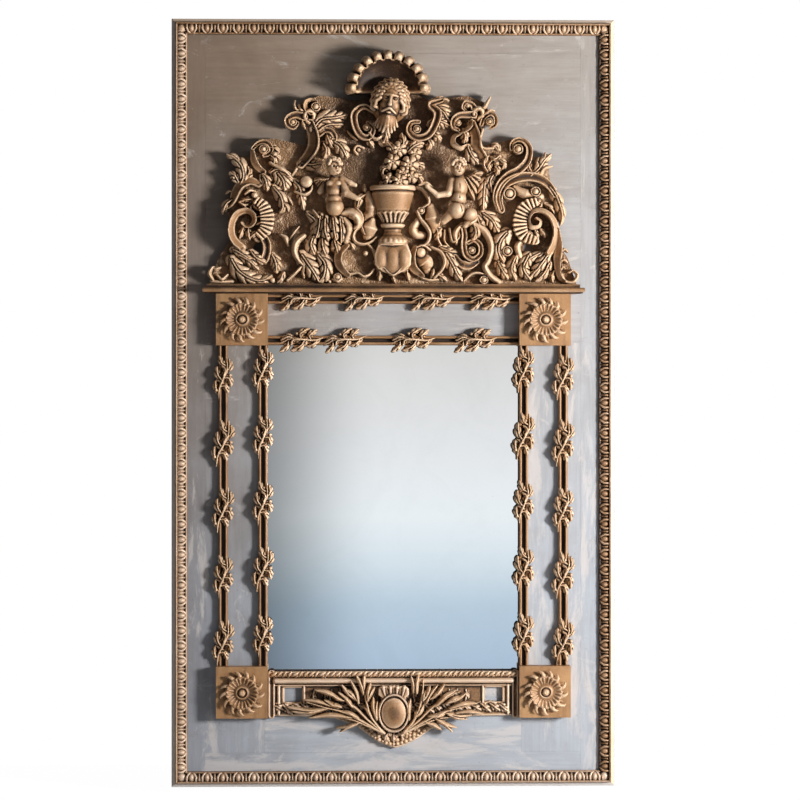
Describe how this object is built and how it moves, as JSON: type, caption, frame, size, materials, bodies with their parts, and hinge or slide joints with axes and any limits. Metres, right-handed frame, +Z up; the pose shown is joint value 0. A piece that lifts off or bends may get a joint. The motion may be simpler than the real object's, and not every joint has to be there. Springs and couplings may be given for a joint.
{
  "type": "trumeau mirror",
  "caption": "Tall painted wall panel with a mirror plate, gilt egg-and-dart border, twined bars, flower blocks and a carved scroll crest, hung by rear rings.",
  "frame": {"origin": "on the wall plane, in the middle of the width and of the height, on the back of the middle batten", "axes": "+X to the viewer's right, +Y into the wall, +Z up"},
  "size_m": [1.27, 0.1826, 2.2],
  "materials": {
    "gilt": "aged gilding over carved wood, soft sheen, dark in the hollows",
    "grey_paint": "worn warm grey paint, brushed, nearly matt",
    "mirror_silver": "silvered plate glass",
    "bare_wood": "unfinished sawn softwood",
    "iron": "dull dark iron"
  },
  "bodies": {
    "mirror_body": {"rail_top": "grey_paint", "rail_bottom": "grey_paint", "panel_head": "grey_paint", "panel_foot": "grey_paint", "stile_left": "grey_paint", "panel_left": "grey_paint", "stile_right": "grey_paint", "panel_right": "grey_paint", "mirror_glass": "mirror_silver", "mirror_backing": "bare_wood", "batten_top": "bare_wood", "batten_middle": "bare_wood", "batten_bottom": "bare_wood", "edge_moulding_top": "gilt", "edge_moulding_bottom": "gilt", "edge_moulding_right": "gilt", "edge_moulding_left": "gilt", "cornice": "gilt", "corner_block_upper_left": "gilt", "rosette_upper_left": "gilt", "corner_block_upper_right": "gilt", "rosette_upper_right": "gilt", "corner_block_lower_left": "gilt", "rosette_lower_left": "gilt", "corner_block_lower_right": "gilt", "rosette_lower_right": "gilt", "bar_upper": "gilt", "bar_lower": "gilt", "bar_outer_left": "gilt", "bar_inner_left": "gilt", "bar_outer_right": "gilt", "bar_inner_right": "gilt", "lower_rail": "gilt", "cartouche": "gilt", "palm_spray_left": "gilt", "palm_spray_right": "gilt", "crest_ground": "gilt", "mask": "gilt", "shell_canopy": "gilt", "urn": "gilt", "urn_pedestal": "gilt", "bouquet": "gilt", "putto_left": "gilt", "putto_right": "gilt", "ear_finial_left": "gilt", "ear_finial_right": "gilt", "side_scroll_left": "gilt", "side_scroll_right": "gilt", "great_volute_left": "gilt", "great_volute_right": "gilt", "bracket_scroll_left": "gilt", "bracket_scroll_right": "gilt", "strapwork_left": "gilt", "strapwork_right": "gilt", "foot_leaves_left": "gilt", "foot_leaves_right": "gilt", "hanger_strap_left": "iron", "hanger_strap_right": "iron"},
    "ring_left": {"hanger_ring_left": "iron"},
    "ring_right": {"hanger_ring_right": "iron"}
  },
  "joints": [
    {"name": "ring_left_swing", "type": "hinge", "parent": "mirror_body", "child": "ring_left", "pos_m": [-0.587, -0.0134, 0.7], "axis": [1, 0, 0], "range_deg": [0, 180]},
    {"name": "ring_right_swing", "type": "hinge", "parent": "mirror_body", "child": "ring_right", "pos_m": [0.587, -0.0134, 0.7], "axis": [1, 0, 0], "range_deg": [0, 180]}
  ]
}
